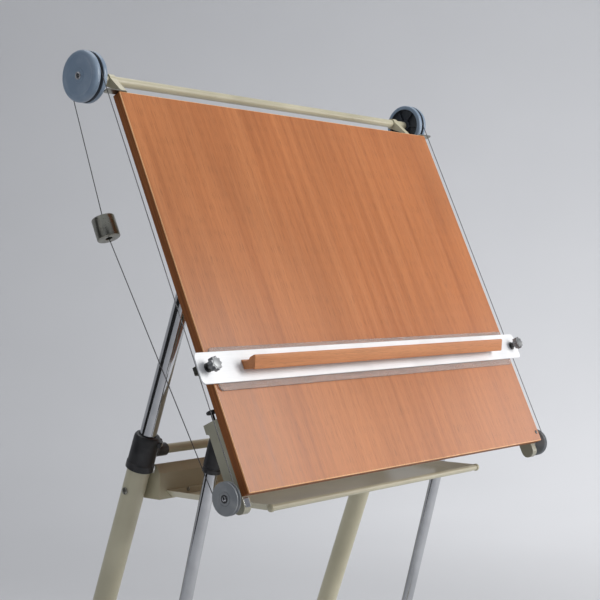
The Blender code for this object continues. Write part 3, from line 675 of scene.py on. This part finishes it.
def counterweight(side):
    """Turned nickel-plated weight with chamfers, a countersunk hole in its top and a socket hole below."""
    node = f"counterweight_{side}"
    low, high = local_box(node, FACE)
    centre = (low + high) / 2
    here = basis(RIGHT, -OUTWARD, UPHILL, FACE @ centre)
    radius, half = (high.x - low.x) / 2, (high.y - low.y) / 2
    profile = [(0, -half + 0.010), (0.0022, -half + 0.010), (0.0022, -half + 0.006), (0.0062, -half + 0.006),
               (0.0062, -half + 0.0006), (0.0068, -half), (radius - 0.0014, -half),
               (radius - 0.0004, -half + 0.0004),
               (radius, -half + 0.0014), (radius, half - 0.0014), (radius - 0.0004, half - 0.0004),
               (radius - 0.0014, half), (0.0050, half), (0.0042, half - 0.0008), (0.0022, half - 0.0012),
               (0.0022, half - 0.004), (0, half - 0.004)]
    piece(f"weight_{side}", lathe(profile, 80), here, "steel", body_of[node], [node])


def tension_gear(side, sign):
    """Thumb screw with a fluted mushroom head, and on the left bar only a pale chrome strip at its lower end,
    a painted highlight.
    """
    node = f"tension_screw_{side}"
    low, high = local_box(node, FACE)
    centre = (low + high) / 2
    here = basis(RIGHT, -OUTWARD, UPHILL, FACE @ Vector((centre.x, low.y, centre.z)))
    height, radius = high.y - low.y, (high.x - low.x) / 2
    stem = [(0, 0), (0.0030, 0), (0.0030, height - 0.0064), (0.0050, height - 0.0058), (0, height - 0.0058)]
    piece(f"thumb_stem_{side}", lathe(stem, 32), here, "steel", body_of[node], (), 0.0, DARK_SCREW)
    head = lathe([(0, height - 0.0060), (radius * 0.80, height - 0.0060), (radius, height - 0.0050),
                  (radius, height - 0.0028), (radius * 0.90, height - 0.0012),
                  (radius * 0.68, height - 0.0003),
                  (radius * 0.40, height), (0, height)], 72)
    for vertex in head.verts:
        reach = math.hypot(vertex.co.x, vertex.co.y)
        if reach > radius * 0.9 and vertex.co.z < height - 0.002:
            wave = 1 - 0.05 * (0.5 - 0.5 * math.cos(18 * math.atan2(vertex.co.y, vertex.co.x)))
            vertex.co.x *= wave
            vertex.co.y *= wave
    piece(f"thumb_head_{side}", head, here, "black_plastic", body_of[node], [node])

    if sign > 0:
        return
    # Painted highlight: a chrome strip on the left bar's front, where its edge catches the light.
    low, high = local_box(f"tension_bar_{side}", FACE)
    middle, front = (low.x + high.x) / 2, high.z
    strip = round_rect((middle - 0.0062, low.y + 0.008), (middle + 0.0062, -0.0012), 0.002)
    piece(f"bar_highlight_strip_{side}", prism(strip, front - 0.0006, front + 0.0002), FACE, "chrome", "board", (),
          0.0002)


def top_gear():
    """Smooth top shaft and the screws of its bearings."""
    here = basis(UPHILL, RIGHT.cross(UPHILL), RIGHT, Vector(joints["top_shaft_spin"]["pos_m"]))
    low, high = local_box("top_shaft", here)
    radius = high.x
    profile = [(0, low.z), (radius - 0.0006, low.z), (radius, low.z + 0.0006), (radius, high.z - 0.0006),
               (radius - 0.0006, high.z), (0, high.z)]
    piece("shaft_tube", lathe(profile, 48), here, "cream_paint", "top_shaft_group", ["top_shaft"])
    for side, sign in SIDES:
        low, high = local_box(f"shaft_bearing_{side}", FACE)
        back = shift(FACE, (low.x + high.x) / 2, low.y + 0.012,
                     -BOARD_T - 0.0058) @ Matrix.Rotation(math.pi, 4, "X")
        screw_head(f"bearing_screw_{side}", 0.0042, 0.0018, back, "steel", "board")


# ---------------------------------------------------------------- stand

def leg(side, sign):
    """Painted leg tube with its mitred foot, its clamp collar, bolts and screws."""
    node = f"leg_{side}"
    low, high = local_box(node, LEG)
    x = (low.x + high.x) / 2
    radius = (high.x - low.x) / 2
    here = shift(LEG, x, 0, 0)
    collar_low, collar_high = local_box(f"collar_{side}", here)
    foot_top = min(vertex.co.z for vertex in nodes[node].data.vertices)
    bm = lathe([(0, low.z - 0.004), (radius, low.z - 0.004), (radius, collar_high.z - 0.013),
                (0, collar_high.z - 0.013)])
    bmesh.ops.transform(bm, matrix=here, verts=bm.verts)
    bmesh.ops.bisect_plane(bm, geom=bm.verts[:] + bm.edges[:] + bm.faces[:], plane_co=(0, 0, foot_top),
                           plane_no=(0, 0, -1), clear_outer=True)
    bmesh.ops.holes_fill(bm, edges=[edge for edge in bm.edges if edge.is_boundary])
    piece(f"leg_tube_{side}", bm, Matrix.Identity(4), "cream_paint", "base", [node])
    sleeve = SLEEVE_R
    bottom, top = collar_low.z, collar_high.z
    bore = local_box(f"upright_{side}", here)[1].x + 0.0005
    profile = [(radius + TOUCH, bottom), (sleeve - 0.0008, bottom), (sleeve, bottom + 0.0008),
               (sleeve, bottom + 0.0125), (sleeve - 0.0008, bottom + 0.0135),
               (sleeve - 0.0012, bottom + 0.0145),
               (sleeve - 0.0016, top - 0.0085), (sleeve - 0.0022, top - 0.0040),
               (sleeve - 0.0042, top - 0.0008),
               (sleeve - 0.0060, top), (bore + 0.0006, top), (bore, top - 0.0006), (bore, top - 0.0115),
               (radius + TOUCH, top - 0.0115)]
    piece(f"clamp_collar_{side}", lathe(profile, SMOOTH, True), here, "black_plastic", "base",
          [f"collar_{side}"])

    bar_low, bar_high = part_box("tie_bar")
    bar = LEG.inverted() @ ((bar_low + bar_high) / 2)
    inwards = basis(Vector(LEG.col[2][:3]), (Vector((-sign, 0, 0))).cross(Vector(LEG.col[2][:3])),
                    Vector((-sign, 0, 0)), LEG @ Vector((x, 0, bar.z)))
    reach = abs(x) - bar_high.x
    boss = [(0, sleeve - 0.004), (0.0150, sleeve - 0.004), (0.0138, sleeve - 0.0006),
            (0.0128, sleeve + 0.0022),
            (0.0125, sleeve + 0.0050), (0.0125, reach - 0.0012), (0.0120, reach - TOUCH), (0, reach - TOUCH)]
    piece(f"collar_boss_{side}", lathe(boss, 48), inwards, "black_plastic", "base")

    ear = round_rect((-0.0095, -0.0060), (0.0095, 0.0060), 0.0035)
    for k, turn in enumerate((-52, -8)):
        angle = math.radians(turn) if sign < 0 else math.radians(180 - turn)
        outward = LEG.to_3x3() @ Vector((math.cos(angle), math.sin(angle), 0))
        spot = basis(outward.cross(Vector(LEG.col[2][:3])), Vector(LEG.col[2][:3]), outward,
                     LEG @ Vector((x, 0, top - 0.0125)))
        piece(f"collar_ear_{side}_{k}", prism(ear, sleeve - 0.0060, sleeve + 0.0030), spot, "black_plastic",
              "base",
              (), 0.0014)
        screw_head(f"collar_bolt_{side}_{k}", 0.0034, 0.0020, shift(spot, 0, 0, sleeve + 0.0030), "steel",
                   "base")

    screw_low, screw_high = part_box(f"leg_screw_{side}")
    screw_middle = (screw_low + screw_high) / 2
    face = screw_high.x if sign < 0 else screw_low.x
    spot = basis(UPHILL, Vector((sign, 0, 0)).cross(UPHILL), Vector((sign, 0, 0)),
                 Vector((face, screw_middle.y, screw_middle.z)))
    screw_head(f"side_screw_{side}", 0.0070, 0.0030, spot, "steel", "base", stands_for=[f"leg_screw_{side}"])


def lock_knob(side):
    """Five-lobed clamp knob with a domed cap and a collar behind it."""
    node = f"lock_knob_{side}"
    joint = joints[f"lock_knob_turn_{side}"]
    here = around(joint["axis"], Vector(joint["pos_m"]))
    low, high = local_box(node, here)
    height, radius = high.z - low.z, max(high.x, high.y)
    here = shift(here, 0, 0, low.z)
    head = prism(lobed_outline(radius, 0.0028, 5, 18), 0.0040, height - 0.0008)
    piece(f"lock_head_{side}", head, here, "black_plastic", body_of[node], [node], 0.0022)
    cap = [(0, height - 0.0012), (0.0080, height - 0.0012), (0.0076, height - 0.0004), (0.0040, height),
           (0, height)]
    piece(f"lock_cap_{side}", lathe(cap, 40), here, "grey_plastic", body_of[node])
    piece(f"lock_hub_{side}",
          lathe([(0, 0), (0.0078, 0), (0.0085, 0.0012), (0.0090, 0.0045), (0, 0.0045)], 40), here,
          "black_plastic", body_of[node])


def upright(side):
    """Polished upright tube."""
    node = f"upright_{side}"
    low, high = local_box(node, LEG)
    x, radius = (low.x + high.x) / 2, (high.x - low.x) / 2
    wall = 0.002
    profile = [(0, low.z), (radius - 0.0008, low.z), (radius, low.z + 0.0008), (radius, high.z - 0.0008),
               (radius - 0.0008, high.z), (radius - wall, high.z), (radius - wall, low.z + 0.004),
               (0, low.z + 0.004)]
    piece(f"upright_tube_{side}", lathe(profile, 72), shift(LEG, x, 0, 0), "chrome", body_of[node], [node])


def stay(side):
    """Chrome stay tube with its black tapered collar, and the thin rod that slides in it."""
    lower = Vector(joints[f"stay_tube_swing_{side}"]["pos_m"])
    upper = Vector(joints[f"stay_rod_swing_{side}"]["pos_m"])
    here = around(upper - lower, lower)
    node = f"stay_collar_{side}"
    low, high = local_box(node, here)
    base, tip = high.x, high.z
    bore = local_box(f"stay_tube_{side}", here)[1].x + TOUCH
    profile = [(bore, low.z), (base - 0.0010, low.z), (base, low.z + 0.0010), (base, low.z + 0.0080),
               (base - 0.0009, low.z + 0.0088), (base - 0.0009, low.z + 0.0105), (base, low.z + 0.0115),
               (base - 0.0012, tip - 0.0160), (base - 0.0026, tip - 0.0060), (base - 0.0042, tip - 0.0012),
               (base - 0.0058, tip), (STAY_BORE, tip), (STAY_BORE, tip - 0.0057), (bore, tip - 0.0057)]
    piece(f"taper_collar_{side}", lathe(profile, SMOOTH, True), here, "black_plastic", body_of[node], [node])

    node = f"stay_tube_{side}"
    outside, end = bore - TOUCH, local_box(node, here)[1].z
    wall = [(0, TUBE_START), (outside - 0.0006, TUBE_START), (outside, TUBE_START + 0.0006), (outside, end),
            (STAY_BORE, end), (STAY_BORE, 0.025), (0, 0.025)]
    piece(f"tube_{side}", lathe(wall), here, "chrome", body_of[node], [node])
    hinge_eye(f"tube_eye_{side}", node, lower, upper - lower, 0.0095, 0.0045, 0.014)
    node = f"stay_rod_{side}"
    down = around(lower - upper, upper)
    tip = local_box(node, down)[1].z
    bar = [(0, 0.006), (ROD_R, 0.006), (ROD_R, tip - 0.0006), (ROD_R - 0.0006, tip), (0, tip)]
    piece(f"slim_rod_{side}", lathe(bar, 40), down, "chrome", body_of[node], [node])
    hinge_eye(f"rod_eye_{side}", node, upper, lower - upper, 0.0105, 0.0100, 0.0085)


def hinge_eye(name, node, pin, along, radius, half, reach):
    """Flat eye round a pin, with a short neck towards its tube."""
    spot = basis(RIGHT.cross(along.normalized()), along.normalized(), -RIGHT, pin)
    outline = arc((0, 0), radius, 180, 360, 24) + [(radius, reach), (-radius, reach)]
    low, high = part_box(node)
    piece(name, prism(outline, -half, half), spot, "chrome", body_of[node], (), 0.0008)
    end = (high.x - low.x) / 2
    profile = [(0, -end), (0.0035, -end), (0.0040, -end + 0.0005), (0.0040, end - 0.0005),
               (0.0035, end), (0, end)]
    piece(f"{name}_pin", lathe(profile, 32), spot, "steel", body_of[node])


def foot_caps(side):
    """Moulded caps in both open ends of the foot's tube."""
    low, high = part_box(f"foot_{side}")
    pad_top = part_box(f"foot_pad_front_{side}")[1].z
    height = 0.040
    bottom = pad_top + TOUCH
    outline = round_rect((low.x + 0.0004, bottom + 0.0004), (high.x - 0.0004, bottom + height - 0.0004),
                         0.0065)
    for end, y, toward in (("front", low.y, -1), ("rear", high.y, 1)):
        facing = Vector((0, toward, 0))
        across = Vector((0, 0, 1)).cross(facing)
        spot = basis(across, Vector((0, 0, 1)), facing, Vector(((low.x + high.x) / 2, y, 0)))
        local = [(px - (low.x + high.x) / 2, pz) for px, pz in outline]
        piece(f"foot_cap_{end}_{side}", prism(local, -0.0040, 0.0022), spot, "black_plastic", "base", (),
              0.0016)


def pivot_bolts(side, sign):
    """Bolt heads and washers on both faces of the rail, at the upright's and the stay's pins."""
    rail_low, rail_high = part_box(f"back_rail_{side}")
    places = (("tilt", joints["board_tilt"]["pos_m"]), ("stay", joints[f"stay_rod_swing_{side}"]["pos_m"]))
    for label, place in places:
        for end, x, facing in (("a", rail_low.x, -1), ("b", rail_high.x, 1)):
            spot = basis(UPHILL, Vector((facing, 0, 0)).cross(UPHILL), Vector((facing, 0, 0)),
                         Vector((x, place[1], place[2])))
            washer = [(0, 0.0013), (0.0095, 0.0013), (0.0100, 0.0017), (0.0100, 0.0025), (0.0095, 0.0029),
                      (0, 0.0029)]
            piece(f"{label}_washer_{side}_{end}", lathe(washer, 40), spot, "steel", "board")
            hexagon = [(0.0072 * math.cos(math.radians(60 * i)), 0.0072 * math.sin(math.radians(60 * i)))
                       for i in range(6)]
            piece(f"{label}_bolt_{side}_{end}", prism(hexagon, 0.0028, 0.0072), spot, "steel", "board", (),
                  0.0005)


def tray_details():
    """Rolled front lip with rounded end plugs, and the screws that hold the pan to the beam."""
    low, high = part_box("tray")
    beam_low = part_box("crossbeam")[0]
    for side, sign in SIDES:
        x = sign * (high.x - 0.0030)
        outwards = Vector((sign, 0, 0))
        spot = basis(Vector((0, 0, 1)), outwards.cross(Vector((0, 0, 1))), outwards,
                     Vector((x, low.y + 0.006, low.z + 0.0075)))
        plug = [(0, -0.004), (0.0072, -0.004), (0.0076, -0.0030), (0.0076, 0.0)] + \
            [(r, z) for r, z in dome(0.0076, 0.0056)[1:]]
        piece(f"lip_plug_{side}", lathe(plug, 32), spot, "cream_paint", "base")
        for k, place in enumerate((0.10, 0.28)):
            wall = basis(Vector((1, 0, 0)), Vector((0, 0, 1)), Vector((0, -1, 0)),
                         Vector((sign * place, beam_low.y - 0.0032, (beam_low.z + high.z) / 2 + 0.004)))
            screw_head(f"tray_screw_{side}_{k}", 0.0040, 0.0018, wall, "steel", "base")


# ---------------------------------------------------------------- assembly

for name, node in nodes.items():
    slot = slot_of[name]
    for held in node.material_slots:
        held.material = FINISHES[slot]
    if not node.material_slots:
        node.data.materials.append(FINISHES[slot])
    node.data.shade_smooth()
    node.data.set_sharp_from_angle(angle=math.radians(32))

for name in ("crossbeam", "tray"):
    soften(nodes[name], 0.0007)
# The crossbeam and the tension bars take darker copies of the cream paint: painted shade.
for name, paint in (("crossbeam", SHADED_BEAM_PAINT), ("tension_bar_left", SHADED_BAR_PAINT),
                    ("tension_bar_right", SHADED_BAR_PAINT)):
    for held in nodes[name].material_slots:
        held.material = paint
for side_name, side_sign in SIDES:
    for stem in ("back_rail", "shaft_bearing", "cable_guide", "tension_bar", "cable_clamp", "pivot_head",
                 "stay_block", "foot_pad_front", "foot_pad_rear"):
        soften(nodes[f"{stem}_{side_name}"], 0.0005)

drawing_board()
ruler()
top_gear()
tray_details()
for side_name, side_sign in SIDES:
    ruler_knob(side_name)
    cable_clamp_screw(side_name)
    top_pulley(side_name, side_sign)
    lower_pulley(side_name, side_sign)
    cable(side_name, side_sign)
    counterweight(side_name)
    tension_gear(side_name, side_sign)
    leg(side_name, side_sign)
    lock_knob(side_name)
    upright(side_name)
    stay(side_name)
    foot_caps(side_name)
    pivot_bolts(side_name, side_sign)


# ---------------------------------------------------------------- studio

def studio():
    """Pale floor that curves up into a wall all round."""
    flat, curve, top = 3.6, 4.0, 6.0
    profile = [(0, 0), (1.5, 0), (3.0, 0), (flat, 0)]
    profile += [(flat + curve * math.sin(a), curve - curve * math.cos(a))
                for a in (math.radians(90 * i / 16) for i in range(1, 17))]
    profile += [(flat + curve, top)]
    bm = lathe(profile, 96)
    mesh = bpy.data.meshes.new("studio")
    bm.to_mesh(mesh)
    bm.free()
    mesh.shade_smooth()
    finish = Finish("studio_paint", 0.85)
    cloud = finish.noise((0.7, 0.7, 0.7), 2.0)
    finish.colour(finish.ramp(cloud, (0.3, (0.66, 0.665, 0.685)), (0.7, (0.69, 0.695, 0.715))))
    mesh.materials.append(finish.material)
    room = bpy.data.objects.new("studio", mesh)
    bpy.context.scene.collection.objects.link(room)


def softbox(name, place, target, size, power, colour=(1, 1, 1)):
    """Square area light that faces a point."""
    lamp = bpy.data.lights.new(name, "AREA")
    lamp.shape = "RECTANGLE"
    lamp.size, lamp.size_y = size
    lamp.energy = power
    lamp.color = colour
    made = bpy.data.objects.new(name, lamp)
    made.location = place
    made.rotation_euler = (Vector(target) - Vector(place)).to_track_quat("-Z", "Y").to_euler()
    bpy.context.scene.collection.objects.link(made)


def flag(name, place, size):
    """Dark panel beside the set, which only shows as a reflection in bright metal."""
    bm = bmesh.new()
    bmesh.ops.create_grid(bm, x_segments=1, y_segments=1, size=0.5)
    mesh = bpy.data.meshes.new(name)
    bm.to_mesh(mesh)
    bm.free()
    cloth = Finish("flag_cloth", 0.9)
    cloth.colour(cloth.ramp(cloth.noise((200.0, 200.0, 200.0)), (0.4, 0.012), (0.6, 0.022)))
    mesh.materials.append(cloth.material)
    made = bpy.data.objects.new(name, mesh)
    made.scale = (*size, 1)
    made.location = place
    made.rotation_euler = (Vector((0, 0, 0.9)) - Vector(place)).to_track_quat("-Z", "Y").to_euler()
    made.visible_camera = False
    made.visible_shadow = False
    made.visible_diffuse = False
    bpy.context.scene.collection.objects.link(made)


def lights():
    centre = (0, 0, 1.0)
    softbox("key", (1.6, -3.4, 2.4), centre, (1.6, 2.0), 104, (1.0, 0.985, 0.96))
    softbox("window", (3.5, -1.8, 1.3), (0, 0, 0.9), (2.2, 1.3), 24, (1.0, 0.98, 0.95))
    softbox("fill", (-3.9, 0.6, 2.4), centre, (0.5, 2.2), 9, (0.97, 0.98, 1.0))
    softbox("top", (0.6, 0.6, 4.4), centre, (2.4, 2.4), 38)
    softbox("wall", (3.4, 0.8, 2.9), (6.8, 2.2, 0.9), (2.4, 2.4), 66)
    flag("flag_left", (-3.2, 1.3, 1.0), (3.2, 4.6))
    flag("flag_camera", (-3.3, -3.2, 1.0), (2.2, 4.6))
    flag("flag_right", (2.6, -3.4, 0.6), (1.0, 3.4))
    world = bpy.data.worlds.new("studio_air")
    world.use_nodes = True
    world.node_tree.nodes["Background"].inputs["Color"].default_value = (0.93, 0.96, 1.0, 1.0)
    world.node_tree.nodes["Background"].inputs["Strength"].default_value = 0.42
    bpy.context.scene.world = world


def camera():
    """Camera at the height of a seated onlooker, to the left and in front of the table."""
    lens = bpy.data.cameras.new("camera")
    lens.sensor_width = 36.0
    lens.lens = 79.88
    eye = bpy.data.objects.new("camera", lens)
    eye.location = (-2.08528, -1.78050, 1.14603)
    eye.rotation_euler = (math.radians(90 - 0.8126), 0.0, -math.radians(50.165))
    bpy.context.scene.collection.objects.link(eye)
    bpy.context.scene.camera = eye


studio()
lights()
camera()
bpy.context.scene.view_settings.view_transform = "Standard"
